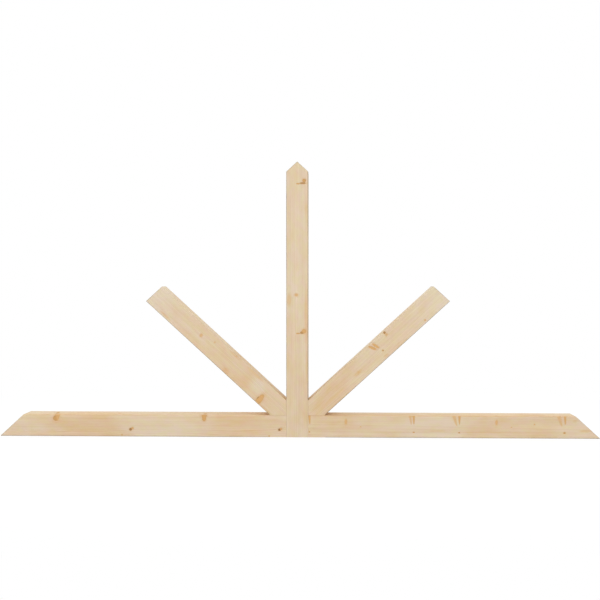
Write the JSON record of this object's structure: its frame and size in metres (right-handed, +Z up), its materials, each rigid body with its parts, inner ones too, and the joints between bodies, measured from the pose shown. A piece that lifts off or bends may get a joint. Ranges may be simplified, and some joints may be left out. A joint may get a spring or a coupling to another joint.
{
  "type": "timber gable bracket",
  "caption": "Timber gable bracket: a king post stands between half beams, and struts fan up from its foot; every free end is sawn to the slope of the roof.",
  "frame": {"origin": "under the king post, in the middle of its depth, on the level that the bracket stands on", "axes": "+X along the beam to the right, +Z up the post, and the front faces -Y"},
  "size_m": [2.4384, 0.0888, 1.1176],
  "materials": {
    "post_timber": "planed, unfinished pale softwood",
    "beam_timber": "planed, unfinished pale softwood with knots",
    "strut_timber": "planed, unfinished pale softwood with knots"
  },
  "bodies": {
    "root": {"king_post": "post_timber", "left_beam": "beam_timber", "right_beam": "beam_timber", "left_strut": "strut_timber", "right_strut": "strut_timber"}
  },
  "joints": []
}
